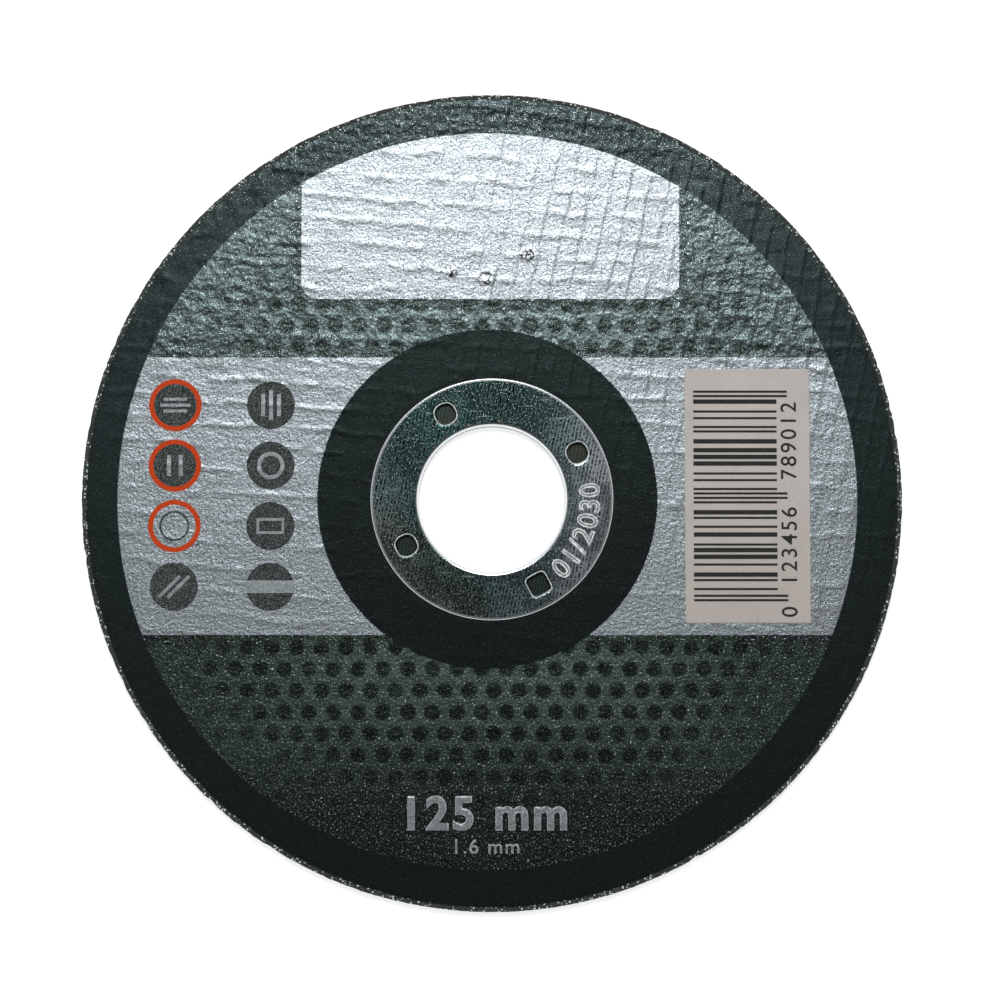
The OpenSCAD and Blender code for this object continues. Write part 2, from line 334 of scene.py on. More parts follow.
    fadeOut = addNode(tree, rangeNode, smoothRange, {
        "Value": radius, "From Min": 42.0, "From Max": 56.0, "To Min": 1.0, "To Max": 0.25})[0]
    dots = addNode(tree, mathNode, {"operation": "MULTIPLY"}, {0: dots, 1: fade})[0]
    dots = addNode(tree, mathNode, {"operation": "MULTIPLY"}, {0: dots, 1: fadeOut})[0]

    # The grey ink deepens beside the silver areas, and in a narrower line between panel and band, as print.
    # Below them it turns darker and greener towards the foot of the print and its lower sides: partly the
    # print's own tone, partly painted shade of the key's light falling off down the print
    deepen = addNode(tree, rangeNode, smoothRange, {
        "Value": fromSilver, "From Min": 0.0, "From Max": 3.5, "To Min": 0.65, "To Max": 0.0})[0]
    narrow = addNode(tree, rangeNode, smoothRange, {
        "Value": fromSilver, "From Min": 0.9, "From Max": 2.3, "To Min": 0.8, "To Max": 0.0})[0]
    beside = addNode(tree, rangeNode, smoothRange, {"Value": panelSide, "From Min": -6.0, "From Max": 2.0})[0]
    deepen = addNode(tree, rangeNode, None, {"Value": beside, "To Min": narrow, "To Max": deepen})[0]
    below = addNode(tree, rangeNode, smoothRange, {
        "Value": split["Y"], "From Min": 0.0, "From Max": -20.0})[0]
    foot = addNode(tree, rangeNode, smoothRange, {
        "Value": split["Y"], "From Min": -26.0, "From Max": -50.0, "To Min": 0.0, "To Max": 0.95})[0]
    sideways = addNode(tree, mathNode, {"operation": "ABSOLUTE"}, {0: split["X"]})[0]
    sideways = addNode(tree, rangeNode, smoothRange, {
        "Value": sideways, "From Min": 16.0, "From Max": 44.0, "To Max": 0.6})[0]
    sideways = addNode(tree, mathNode, {"operation": "MULTIPLY"}, {0: sideways, 1: below})[0]
    foot = addNode(tree, mathNode, {"operation": "MAXIMUM"}, {0: foot, 1: sideways})[0]
    greyGround = addNode(tree, mixNode, colourMix, {
        0: beside, 6: linear(paper["mid"]), 7: linear(paper["grey"])})[2]
    greyGround = addNode(tree, mixNode, colourMix, {0: below, 6: greyGround, 7: linear(paper["low"])})[2]
    greyGround = addNode(tree, mixNode, colourMix, {0: foot, 6: greyGround, 7: linear(paper["foot"])})[2]
    shade = addNode(tree, mathNode, {"operation": "MAXIMUM"}, {0: deepen, 1: dots})[0]

    # Metal flakes: a broad grain on the silver with dark specks, and bright points through the inks. The
    # silver is painted dimmer in the band than in the panel: painted shade of the key's reflection, which
    # falls off down the print. A fine print screen and a slow mottle break up the grey.
    flakes = addNode(tree, noiseNode, {"noise_dimensions": "2D"}, {
        "Vector": place, "Scale": 1 / (0.8 * paper["flakeSize"]), "Detail": 1.0})["Fac"]
    glint = addNode(tree, rangeNode, smoothRange, {"Value": flakes, "From Min": 0.56, "From Max": 0.78})[0]
    glitter = addNode(tree, rangeNode, smoothRange, {"Value": flakes, "From Min": 0.70, "From Max": 0.80})[0]
    silverTone = addNode(tree, rangeNode, None, {"Value": grain, "From Min": 0.25, "From Max": 0.75})[0]
    silverColour = addNode(tree, mixNode, colourMix, {
        0: silverTone, 6: linear(paper["shadow"]), 7: linear(paper["flake"])})[2]
    pepper = addNode(tree, noiseNode, {"noise_dimensions": "2D"}, {
        "Vector": place, "Scale": 1 / 0.36, "Detail": 2.0, "Roughness": 0.6})["Fac"]
    pepper = addNode(tree, rangeNode, smoothRange, {
        "Value": pepper, "From Min": 0.57, "From Max": 0.70, "To Min": 0.0, "To Max": 0.75})[0]
    silverColour = addNode(tree, mixNode, colourMix, {
        0: pepper, 6: silverColour, 7: linear(paper["pepper"])})[2]
    # Painted shade: the silver below the panel is mixed towards its shadow colour
    bandShade = addNode(tree, rangeNode, smoothRange, {
        "Value": split["Y"], "From Min": 22.0, "From Max": 31.0, "To Min": paper["bandShade"], "To Max": 0.0})[0]
    silverColour = addNode(tree, mixNode, colourMix, {
        0: bandShade, 6: silverColour, 7: linear(paper["shadow"])})[2]
    dotColour = addNode(tree, mixNode, colourMix, {
        0: below, 6: linear(paper["dot"]), 7: linear(paper["lowDot"])})[2]
    screen = addNode(tree, vectorNode, {"operation": "SCALE"}, {
        0: place, 3: 2 * math.pi / paper["screenPitch"]})["Vector"]
    screen = addNode(tree, vectorNode, {"operation": "SINE"}, {0: screen})["Vector"]
    screen = addNode(tree, splitNode, None, {0: screen})
    screen = addNode(tree, mathNode, {"operation": "MULTIPLY"}, {0: screen["X"], 1: screen["Y"]})[0]
    shade = addNode(tree, mathNode, {"operation": "MULTIPLY_ADD"}, {0: screen, 1: 0.35, 2: shade})[0]
    mottle = addNode(tree, noiseNode, {"noise_dimensions": "2D"}, {
        "Vector": place, "Scale": 0.4, "Detail": 2.0})["Fac"]
    mottle = addNode(tree, rangeNode, None, {
        "Value": mottle, "From Min": 0.3, "From Max": 0.7, "To Min": -0.25, "To Max": 0.25})[0]
    shade = addNode(tree, mathNode, {"operation": "ADD"}, {0: shade, 1: mottle})[0]
    greyColour = addNode(tree, mixNode, colourMix, {0: shade, 6: greyGround, 7: dotColour})[2]
    darkSpeck = addNode(tree, mathNode, {"operation": "MULTIPLY"}, {0: pepper, 1: 0.9})[0]
    greyColour = addNode(tree, mixNode, colourMix, {0: darkSpeck, 6: greyColour, 7: linear(paper["dark"])})[2]
    offDots = addNode(tree, rangeNode, None, {"Value": dots, "To Min": 0.8, "To Max": 0.5})[0]
    greyGlint = addNode(tree, mathNode, {"operation": "MULTIPLY"}, {0: glint, 1: offDots})[0]
    glintBelow = addNode(tree, rangeNode, None, {"Value": below, "To Min": 1.0, "To Max": 0.35})[0]
    greyGlint = addNode(tree, mathNode, {"operation": "MULTIPLY"}, {0: greyGlint, 1: glintBelow})[0]
    flecks = addNode(tree, noiseNode, {"noise_dimensions": "2D"}, {
        "Vector": place, "Scale": 1 / 0.3, "Detail": 1.0})["Fac"]
    flecks = addNode(tree, rangeNode, smoothRange, {
        "Value": flecks, "From Min": 0.67, "From Max": 0.77, "To Max": 0.9})[0]
    clear = addNode(tree, rangeNode, None, {"Value": dots, "To Min": 1.0, "To Max": 0.3})[0]
    flecks = addNode(tree, mathNode, {"operation": "MULTIPLY"}, {0: flecks, 1: clear})[0]
    greyGlint = addNode(tree, mathNode, {"operation": "MAXIMUM"}, {0: greyGlint, 1: flecks})[0]
    greyColour = addNode(tree, mixNode, colourMix, {
        0: greyGlint, 6: greyColour, 7: linear(paper["silver"])})[2]
    # Painted highlights: bright points gather towards the top of the print and in clumps there, where the
    # key's light catches the lumps
    topward = addNode(tree, rangeNode, smoothRange, {
        "Value": split["Y"], "From Min": 24.0, "From Max": 60.0, "To Min": 0.22, "To Max": 1.0})[0]
    darkGlint = addNode(tree, mathNode, {"operation": "MULTIPLY"}, {0: glitter, 1: topward})[0]
    topGlint = addNode(tree, rangeNode, smoothRange, {
        "Value": split["Y"], "From Min": 40.0, "From Max": 60.0, "To Min": 0.0, "To Max": 0.40})[0]
    clump = addNode(tree, rangeNode, smoothRange, {
        "Value": rough, "From Min": 0.44, "From Max": 0.64, "To Min": 0.05, "To Max": 2.0})[0]
    topGlint = addNode(tree, mathNode, {"operation": "MULTIPLY"}, {0: topGlint, 1: clump})[0]
    topGlint = addNode(tree, mathNode, {"operation": "MULTIPLY"}, {0: glint, 1: topGlint})[0]
    darkGlint = addNode(tree, mathNode, {"operation": "MAXIMUM"}, {0: darkGlint, 1: topGlint})[0]
    outer = addNode(tree, mathNode, {"operation": "GREATER_THAN"}, {0: radius, 1: label["hubR"] + 5})[0]
    darkColour = addNode(tree, mixNode, colourMix, {
        0: outer, 6: linear(paper["dark"]), 7: linear(paper["border"])})[2]
    darkColour = addNode(tree, mixNode, colourMix, {
        0: darkGlint, 6: darkColour, 7: linear(paper["silver"])})[2]
    inkColour = addNode(tree, mixNode, colourMix, {0: inField, 6: darkColour, 7: greyColour})[2]
    colour = addNode(tree, mixNode, colourMix, {0: silver, 6: inkColour, 7: silverColour})[2]

    # Small tears: a dark ragged line round a lifted flap
    for tearX, tearY, size in press["tears"]:
        spot = addNode(tree, vectorNode, {"operation": "DISTANCE"}, {
            0: place, 1: (tearX - label["shift"][0], tearY - label["shift"][1], 0)})["Value"]
        spot = addNode(tree, mathNode, {"operation": "MULTIPLY_ADD"}, {0: rough, 1: 2.4, 2: spot})[0]
        spot = addNode(tree, mathNode, {"operation": "SUBTRACT"}, {0: spot, 1: 1.2 + 0.62 * size})[0]
        spot = addNode(tree, mathNode, {"operation": "ABSOLUTE"}, {0: spot})[0]
        torn = addNode(tree, rangeNode, smoothRange, {
            "Value": spot, "From Min": 0.10, "From Max": 0.28, "To Min": 1.0, "To Max": 0.0})[0]
        colour = addNode(tree, mixNode, colourMix, {0: torn, 6: colour, 7: linear(paper["rust"])})[2]
    tree.links.new(colour, shader.inputs["Base Color"])
    metal = addNode(tree, rangeNode, None, {"Value": inField, "To Min": 0.85, "To Max": 0.97})[0]
    tree.links.new(metal, shader.inputs["Metallic"])
    sheen = addNode(tree, rangeNode, None, {"Value": inField, "To Min": 0.29, "To Max": 0.35})[0]
    tree.links.new(sheen, shader.inputs["Roughness"])

    # Narrow broken furrows between the warp yarns, on the rows of the relief; the dots a little sunk,
    # blisters in the ink, and a fine tooth in the paper
    yarns = addNode(tree, "ShaderNodeUVMap", {"uv_map": "yarns"})["UV"]
    warpRow = addNode(tree, splitNode, None, {0: yarns})["X"]
    step = addNode(tree, mathNode, {"operation": "FRACT"}, {0: warpRow})[0]
    gap = addNode(tree, mathNode, {"operation": "SUBTRACT"}, {0: step, 1: 1 - press["drop"] / 2})[0]
    gap = addNode(tree, mathNode, {"operation": "ABSOLUTE"}, {0: gap})[0]
    furrow = addNode(tree, rangeNode, smoothRange, {
        "Value": gap, "From Min": 0.0, "From Max": 1.4 * press["drop"], "To Min": 1.0, "To Max": 0.0})[0]
    broken = addNode(tree, noiseNode, {"noise_dimensions": "2D"}, {
        "Vector": place, "Scale": 0.25, "Detail": 1.0})["Fac"]
    broken = addNode(tree, mathNode, {"operation": "MULTIPLY_ADD"}, {0: split["X"], 1: 0.003, 2: broken})[0]
    broken = addNode(tree, rangeNode, smoothRange, {"Value": broken, "From Min": 0.26, "From Max": 0.46})[0]
    upper = addNode(tree, rangeNode, smoothRange, {
        "Value": split["Y"], "From Min": -20.0, "From Max": 25.0, "To Min": 0.3})[0]
    furrow = addNode(tree, mathNode, {"operation": "MULTIPLY"}, {0: furrow, 1: broken})[0]
    furrow = addNode(tree, mathNode, {"operation": "MULTIPLY"}, {0: furrow, 1: upper})[0]
    furrows = addNode(tree, bumpNode, {"invert": True}, {
        "Height": furrow, "Strength": 0.4, "Distance": 0.00005})["Normal"]
    pit = addNode(tree, mathNode, {"operation": "MULTIPLY"}, {0: dots, 1: upper})[0]
    greyOnly = addNode(tree, mathNode, {"operation": "SUBTRACT"}, {0: inField, 1: silver})[0]
    pit = addNode(tree, mathNode, {"operation": "MULTIPLY"}, {0: pit, 1: greyOnly})[0]
    pits = addNode(tree, bumpNode, {"invert": True}, {
        "Height": pit, "Strength": paper["pit"], "Distance": 0.0001, "Normal": furrows})["Normal"]
    peel = addNode(tree, noiseNode, {"noise_dimensions": "2D"}, {
        "Vector": place, "Scale": 1 / 0.55, "Detail": 2.0})["Fac"]
    peelDepth = addNode(tree, rangeNode, None, {"Value": inField, "To Min": 0.12, "To Max": 0.36})[0]
    topEdge = addNode(tree, rangeNode, smoothRange, {
        "Value": split["Y"], "From Min": 44.0, "From Max": 58.0, "To Max": 0.8})[0]
    inked = addNode(tree, mathNode, {"operation": "MAXIMUM"}, {0: inField, 1: topEdge})[0]
    inked = addNode(tree, mathNode, {"operation": "SUBTRACT"}, {0: inked, 1: silver})[0]
    inked = addNode(tree, mathNode, {"operation": "MULTIPLY"}, {0: inked, 1: upper})[0]
    inked = addNode(tree, mathNode, {"operation": "MULTIPLY"}, {0: inked, 1: paper["blister"]})[0]
    blister = addNode(tree, noiseNode, {"noise_dimensions": "2D"}, {
        "Vector": place, "Scale": 1 / 1.15, "Detail": 1.0})["Fac"]
    blisters = addNode(tree, bumpNode, None, {
        "Height": blister, "Strength": inked, "Distance": 0.0003, "Normal": pits})["Normal"]
    dimples = addNode(tree, bumpNode, None, {
        "Height": peel, "Strength": peelDepth, "Distance": 0.00012, "Normal": blisters})["Normal"]
    bump = addNode(tree, bumpNode, None, {
        "Height": grain, "Strength": 0.35, "Distance": 0.00006, "Normal": dimples})["Normal"]
    tree.links.new(bump, shader.inputs["Normal"])
    return material


def bondedGrain():
    # Aluminium oxide grain bonded in dark resin, moulded: black and rough, with bright broken grains
    grit = dict(resin="#111715", grain="#37433e", bright="#f2fff5", yarn="#6f776a", size=0.38)
    material, tree, shader = newMaterial("abrasive grain bonded in resin", {"Roughness": 0.62})
    coords = addNode(tree, coordNode)["Object"]
    scale = 1 / (grit["size"] * mm)
    cells = addNode(tree, cellNode, {"feature": "F1"}, {"Vector": coords, "Scale": scale})
    tone = addNode(tree, mixNode, colourMix, {
        0: cells["Distance"], 6: linear(grit["grain"]), 7: linear(grit["resin"])})[2]
    chance = addNode(tree, splitNode, None, {0: cells["Color"]})["X"]
    glint = addNode(tree, rangeNode, None, {"Value": chance, "From Min": 0.52, "From Max": 0.80})[0]
    core = addNode(tree, rangeNode, None, {
        "Value": cells["Distance"], "From Min": 0.2, "From Max": 0.5, "To Min": 1.0, "To Max": 0.0})[0]
    glint = addNode(tree, mathNode, {"operation": "MULTIPLY"}, {0: glint, 1: core})[0]
    level = addNode(tree, splitNode, None, {0: coords})["Z"]
    broken = addNode(tree, rangeNode, None, {
        "Value": level, "From Min": 0.15 * mm, "From Max": 0.5 * mm, "To Min": 0.3})[0]
    glint = addNode(tree, mathNode, {"operation": "MULTIPLY"}, {0: glint, 1: broken})[0]
    colour = addNode(tree, mixNode, colourMix, {0: glint, 6: tone, 7: linear(grit["bright"])})[2]
    # Bare glass yarns stand lowest on the back and show paler than the resin sunk between them
    yarns = addNode(tree, rangeNode, smoothRange, {
        "Value": level, "From Min": 0.085 * mm, "From Max": 0.03 * mm, "To Max": 0.8})[0]
    colour = addNode(tree, mixNode, colourMix, {0: yarns, 6: colour, 7: linear(grit["yarn"])})[2]
    tree.links.new(colour, shader.inputs["Base Color"])
    bump = addNode(tree, bumpNode, {"invert": True}, {
        "Height": cells["Distance"], "Strength": 0.7, "Distance": 0.00015})["Normal"]
    tree.links.new(bump, shader.inputs["Normal"])
    return material


def drawnSteel():
    # Drawn strip steel, punched and pressed: a dim mirror with short dark marks in upright lines, small
    # painted glints, a blue and brown tarnish with darker stains, a painted reflection duller to the left and
    # at the top, painted highlights on the rolled edges, and painted shade in the bore and the pierced holes,
    # with some rust
    strip = dict(bright="#e4eaec", dull="#5f8d7f", stain="#18292a", lines="#060a0a", scratch="#effff8",
                 blue="#7d92a8", brown="#8d7f70", wall="#39433f", hole="#46544f", rust="#8a5a2c",
                 linePitch=0.54, lean=12.0, marked=3.125, holeTop=1.35)
    material, tree, shader = newMaterial("drawn strip steel", {"Metallic": 1.0})
    coords = addNode(tree, coordNode)["Object"]
    flat = addNode(tree, mappingNode, None, {"Vector": coords, "Scale": (1000, 1000, 1000)})["Vector"]
    turned = addNode(tree, mappingNode, None, {
        "Vector": flat, "Rotation": (0, 0, math.radians(strip["lean"]))})["Vector"]
    specks = addNode(tree, noiseNode, {"noise_dimensions": "2D"}, {
        "Vector": turned, "Scale": 1 / 0.30, "Detail": 2.0})["Fac"]
    specks = addNode(tree, rangeNode, smoothRange, {"Value": specks, "From Min": 0.26, "From Max": 0.44})[0]
    lines = addNode(tree, "ShaderNodeTexWave", {"wave_type": "BANDS", "bands_direction": "X"}, {
        "Vector": turned, "Scale": math.pi / 10 / strip["linePitch"],
        "Distortion": 1.6, "Detail": 2.0})["Fac"]
    lines = addNode(tree, rangeNode, smoothRange, {
        "Value": lines, "From Min": 0.15, "From Max": 0.55, "To Min": 0.10})[0]
    cross = addNode(tree, mappingNode, None, {"Vector": turned, "Scale": (0.8, 2.6, 1)})["Vector"]
    rungs = addNode(tree, noiseNode, {"noise_dimensions": "2D"}, {
        "Vector": cross, "Scale": 1.0, "Detail": 2.0})["Fac"]
    rungs = addNode(tree, rangeNode, smoothRange, {
        "Value": rungs, "From Min": 0.36, "From Max": 0.52, "To Min": 0.50})[0]
    marks = addNode(tree, mathNode, {"operation": "MULTIPLY"}, {0: lines, 1: rungs})[0]
    marks = addNode(tree, mathNode, {"operation": "MULTIPLY"}, {0: marks, 1: specks})[0]
    cloud = addNode(tree, noiseNode, {"noise_dimensions": "2D"}, {
        "Vector": turned, "Scale": 0.16, "Detail": 2.0})["Fac"]
    patch = addNode(tree, rangeNode, smoothRange, {
        "Value": cloud, "From Min": 0.40, "From Max": 0.60, "To Min": 0.82, "To Max": 1.0})[0]
    marks = addNode(tree, mathNode, {"operation": "MULTIPLY"}, {0: marks, 1: patch})[0]
    split = addNode(tree, splitNode, None, {0: flat})
    # Painted reflection: the steel runs from dull to bright across the flange, brightest to the right, duller
    # to the left and darkest at the top
    paintedSheen = addNode(tree, mathNode, {"operation": "MULTIPLY"}, {0: split["X"], 1: split["X"]})[0]
    paintedSheen = addNode(tree, mathNode, {"operation": "MULTIPLY_ADD"}, {0: split["X"], 1: 9.0, 2: paintedSheen})[0]
    paintedSheen = addNode(tree, mathNode, {"operation": "MULTIPLY_ADD"}, {0: split["Y"], 1: -6.0, 2: paintedSheen})[0]
    paintedSheen = addNode(tree, rangeNode, smoothRange, {"Value": paintedSheen, "From Min": -60.0, "From Max": 400.0})[0]
    base = addNode(tree, mixNode, colourMix, {
        0: paintedSheen, 6: linear(strip["dull"]), 7: linear(strip["bright"])})[2]
    across = addNode(tree, mathNode, {"operation": "ADD"}, {0: split["Y"], 1: split["X"]})[0]
    across = addNode(tree, mathNode, {"operation": "MULTIPLY_ADD"}, {0: cloud, 1: 16.0, 2: across})[0]
    across = addNode(tree, rangeNode, smoothRange, {"Value": across, "From Min": -14.0, "From Max": -4.0})[0]
    tint = addNode(tree, mixNode, colourMix, {
        0: across, 6: linear(strip["brown"]), 7: linear(strip["blue"])})[2]
    base = addNode(tree, mixNode, {"data_type": "RGBA", "blend_type": "OVERLAY"}, {
        0: 0.55, 6: base, 7: tint})[2]
    stain = addNode(tree, rangeNode, smoothRange, {
        "Value": cloud, "From Min": 0.60, "From Max": 0.42, "To Max": 0.6})[0]
    # A darker patch near the top of the flange
    topPatch = addNode(tree, vectorNode, {"operation": "DISTANCE"}, {0: flat, 1: (3.0, 14.5, 1.7)})["Value"]
    topPatch = addNode(tree, rangeNode, smoothRange, {
        "Value": topPatch, "From Min": 3.0, "From Max": 9.0, "To Min": 0.55, "To Max": 0.0})[0]
    stain = addNode(tree, mathNode, {"operation": "MAXIMUM"}, {0: stain, 1: topPatch})[0]
    base = addNode(tree, mixNode, colourMix, {0: stain, 6: base, 7: linear(strip["stain"])})[2]
    axisGap = addNode(tree, vectorNode, {"operation": "MULTIPLY"}, {0: flat, 1: (1, 1, 0)})["Vector"]
    axisGap = addNode(tree, vectorNode, {"operation": "LENGTH"}, {0: axisGap})["Value"]
    midFlange = addNode(tree, mathNode, {"operation": "SUBTRACT"}, {0: axisGap, 1: clawCircleR + 0.075})[0]
    midFlange = addNode(tree, mathNode, {"operation": "ABSOLUTE"}, {0: midFlange})[0]
    onFlat = addNode(tree, rangeNode, smoothRange, {
        "Value": midFlange, "From Min": strip["marked"], "From Max": strip["marked"] + 0.2,
        "To Min": 1.0, "To Max": 0.0})[0]
    marks = addNode(tree, mathNode, {"operation": "MULTIPLY"}, {0: marks, 1: onFlat})[0]
    # Off the flat, on the rolled edges and the collar, the base is bright steel: a painted highlight on the
    # rounds
    base = addNode(tree, mixNode, colourMix, {0: onFlat, 6: linear(strip["bright"]), 7: base})[2]
    # Painted shade: a narrow band on the bore wall takes the dark wall colour
    boreShade = addNode(tree, rangeNode, smoothRange, {
        "Value": axisGap, "From Min": wheel["boreR"] + 0.01, "From Max": wheel["boreR"] + 0.06,
        "To Min": 1.0, "To Max": 0.0})[0]
    base = addNode(tree, mixNode, colourMix, {0: boreShade, 6: base, 7: linear(strip["wall"])})[2]
    colour = addNode(tree, mixNode, colourMix, {0: marks, 6: base, 7: linear(strip["lines"])})[2]
    drag = addNode(tree, mappingNode, None, {
        "Vector": flat, "Rotation": (0, 0, 0.16), "Scale": (0.22, 5.5, 1)})["Vector"]
    scratch = addNode(tree, noiseNode, {"noise_dimensions": "2D"}, {
        "Vector": drag, "Scale": 1.0, "Detail": 1.0})["Fac"]
    scratch = addNode(tree, rangeNode, smoothRange, {
        "Value": scratch, "From Min": 0.75, "From Max": 0.80, "To Max": 0.6})[0]
    scratch = addNode(tree, mathNode, {"operation": "MULTIPLY"}, {0: scratch, 1: onFlat})[0]
    colour = addNode(tree, mixNode, colourMix, {0: scratch, 6: colour, 7: linear(strip["scratch"])})[2]
    # Painted glints: small bright points on the flat
    paintedGlints = addNode(tree, noiseNode, {"noise_dimensions": "2D"}, {
        "Vector": turned, "Scale": 1 / 0.24, "Detail": 1.0})["Fac"]
    paintedGlints = addNode(tree, rangeNode, smoothRange, {
        "Value": paintedGlints, "From Min": 0.63, "From Max": 0.73, "To Max": 0.75})[0]
    paintedGlints = addNode(tree, mathNode, {"operation": "MULTIPLY"}, {0: paintedGlints, 1: onFlat})[0]
    colour = addNode(tree, mixNode, colourMix, {0: paintedGlints, 6: colour, 7: linear(strip["scratch"])})[2]
    # The cup floors in the pierced holes are painted dark as shade, with a little real rust mixed in
    rusty = addNode(tree, rangeNode, smoothRange, {
        "Value": cloud, "From Min": 0.45, "From Max": 0.6, "To Max": 0.10})[0]
    pit = addNode(tree, mixNode, colourMix, {0: rusty, 6: linear(strip["hole"]), 7: linear(strip["rust"])})[2]
    cupShade = addNode(tree, rangeNode, smoothRange, {
        "Value": split["Z"], "From Min": strip["holeTop"] - 0.1, "From Max": strip["holeTop"],
        "To Min": 1.0, "To Max": 0.0})[0]
    flange = addNode(tree, mathNode, {"operation": "GREATER_THAN"}, {0: axisGap, 1: 12.2})[0]
    cupShade = addNode(tree, mathNode, {"operation": "MULTIPLY"}, {0: cupShade, 1: flange})[0]
    colour = addNode(tree, mixNode, colourMix, {0: cupShade, 6: colour, 7: pit})[2]
    tree.links.new(colour, shader.inputs["Base Color"])
    rough = addNode(tree, rangeNode, None, {"Value": marks, "To Min": 0.24, "To Max": 0.32})[0]
    tree.links.new(rough, shader.inputs["Roughness"])
    bump = addNode(tree, bumpNode, None, {"Height": marks, "Strength": 0.12, "Distance": 0.00004})["Normal"]
    tree.links.new(bump, shader.inputs["Normal"])
    return material


def bareFoil():
    # The metallised paper left open in the print: silver, with the same sparkling grain
    material, tree, shader = newMaterial("bare metallised paper", {"Metallic": 0.88, "Roughness": 0.42})
    coords = addNode(tree, coordNode)["Object"]
    grain = addNode(tree, noiseNode, None, {
        "Vector": coords, "Scale": 1 / (0.22 * mm), "Detail": 2.0, "Roughness": 0.7})["Fac"]
    tone = addNode(tree, rangeNode, None, {"Value": grain, "From Min": 0.3, "From Max": 0.7})[0]
    colour = addNode(tree, mixNode, colourMix, {0: tone, 6: linear("#6b7576"), 7: linear("#c6ced1")})[2]
    tree.links.new(colour, shader.inputs["Base Color"])
    return material


def stampHighlight():
    # Steel on the stamped strokes and the burrs, near white with little metal: a painted highlight of edges
    # that catch the light, brighter than the flange
    material, tree, shader = newMaterial("stamped steel edge with painted highlight", {"Metallic": 0.1, "Roughness": 0.5})
    coords = addNode(tree, coordNode)["Object"]
    worn = addNode(tree, noiseNode, None, {"Vector": coords, "Scale": 1 / (0.5 * mm), "Detail": 2.0})["Fac"]
    worn = addNode(tree, rangeNode, None, {"Value": worn, "From Min": 0.35, "From Max": 0.65})[0]
    colour = addNode(tree, mixNode, colourMix, {0: worn, 6: linear("#a9b2b4"), 7: linear("#f4f8f9")})[2]
    tree.links.new(colour, shader.inputs["Base Color"])
    return material


def thinInk(name, hexText, speckHex, roughness, speck=0.16):
    # Screen ink on grainy paper: an even colour, broken by fine specks of what lies below
    material, tree, shader = newMaterial(name, {"Roughness": roughness, "Specular IOR Level": 0.2})
    coords = addNode(tree, coordNode)["Object"]
    grain = addNode(tree, noiseNode, None, {
        "Vector": coords, "Scale": 1 / (speck * mm), "Detail": 2.0})["Fac"]
    specks = addNode(tree, rangeNode, smoothRange, {
        "Value": grain, "From Min": 0.46, "From Max": 0.74, "To Min": 0.0, "To Max": 0.6})[0]
    colour = addNode(tree, mixNode, colourMix, {0: specks, 6: linear(hexText), 7: linear(speckHex)})[2]
    tree.links.new(colour, shader.inputs["Base Color"])
    return material


def plainPaper():
    # Uncoated label paper: matt, with a soft fibre mottle
    material, tree, shader = newMaterial("uncoated label paper", {"Roughness": 0.75})
    coords = addNode(tree, coordNode)["Object"]
    fibre = addNode(tree, noiseNode, None, {"Vector": coords, "Scale": 1 / (0.35 * mm), "Detail": 3.0})["Fac"]
    cloud = addNode(tree, noiseNode, None, {"Vector": coords, "Scale": 1 / (6 * mm), "Detail": 2.0})["Fac"]
    mottle = addNode(tree, mathNode, {"operation": "ADD"}, {0: fibre, 1: cloud})[0]
    mottle = addNode(tree, rangeNode, None, {"Value": mottle, "From Min": 0.6, "From Max": 1.4})[0]
    colour = addNode(tree, mixNode, colourMix, {0: mottle, 6: linear("#c0b8b3"), 7: linear("#cdc6c1")})[2]
    # The sticker paper darkens towards its lower end
    rise = addNode(tree, splitNode, None, {0: coords})["Y"]
    darkerBelow = addNode(tree, rangeNode, smoothRange, {
        "Value": rise, "From Min": 0.008, "From Max": -0.019, "To Max": 0.3})[0]
    colour = addNode(tree, mixNode, colourMix, {0: darkerBelow, 6: colour, 7: linear("#a0958c")})[2]
    fleck = addNode(tree, noiseNode, None, {"Vector": coords, "Scale": 1 / (0.45 * mm), "Detail": 1.0})["Fac"]
    fleck = addNode(tree, rangeNode, smoothRange, {
        "Value": fleck, "From Min": 0.68, "From Max": 0.78, "To Max": 0.35})[0]
    colour = addNode(tree, mixNode, colourMix, {0: fleck, 6: colour, 7: linear("#6f6a5e")})[2]
    tree.links.new(colour, shader.inputs["Base Color"])
    return material


printedMaterial = printedPaper()
grainMaterial = bondedGrain()
steelMaterial = drawnSteel()
paperMaterial = plainPaper()
orangeInk = thinInk("orange screen ink", "#cf430f", "#7a3416", 0.5)
darkInk = thinInk("black screen ink", "#1d2624", "#a4aeac", 0.5)
barInk = thinInk("black label ink", "#232625", "#4a4c49", 0.7)
foilMaterial = bareFoil()
stampHighlightMaterial = stampHighlight()
print("materials made")

# The printed face: a polar grid over the paper in two halves, each closed underneath and at its ends
face = dict(around=700, rings=140, halves=(("upper", 0), ("lower", np.pi)))
for half, start in face["halves"]:
    faceAngle = start + np.linspace(0, np.pi, face["around"])[:, None]
    faceR = np.linspace(seatR, labelR - 0.02, face["rings"])[None, :]
    faceX, faceY = faceR * np.cos(faceAngle), faceR * np.sin(faceAngle)
    faceTop = np.stack([faceX, faceY, faceHeight(faceX, faceY)], -1)
    faceUnder = faceTop[:, ::-1].copy()
    faceUnder[..., 2] = labelTop + 0.001
    faceLoop = np.concatenate([faceTop, faceUnder[:, :1], faceUnder[:, -1:]], 1)
    loopX, loopY = faceLoop[..., 0], faceLoop[..., 1]
    faceRows = np.stack([warpRows(loopX, loopY)[0], weftRows(loopX, loopY, press["pitch"], 3)[0]], -1)
    faceMesh = gridMesh("printed_face_" + half, faceLoop, wrapV=True, rows=faceRows)
    faceMesh.set_sharp_from_angle(angle=math.radians(50))
    addPiece("printed_face_" + half, faceMesh, printedMaterial,
             ["label_dark_ink", "label_grey_ink", "label_orange_ink"] if start == 0 else ())
    print("printed face,", half, "half:", len(faceMesh.polygons), "quads")

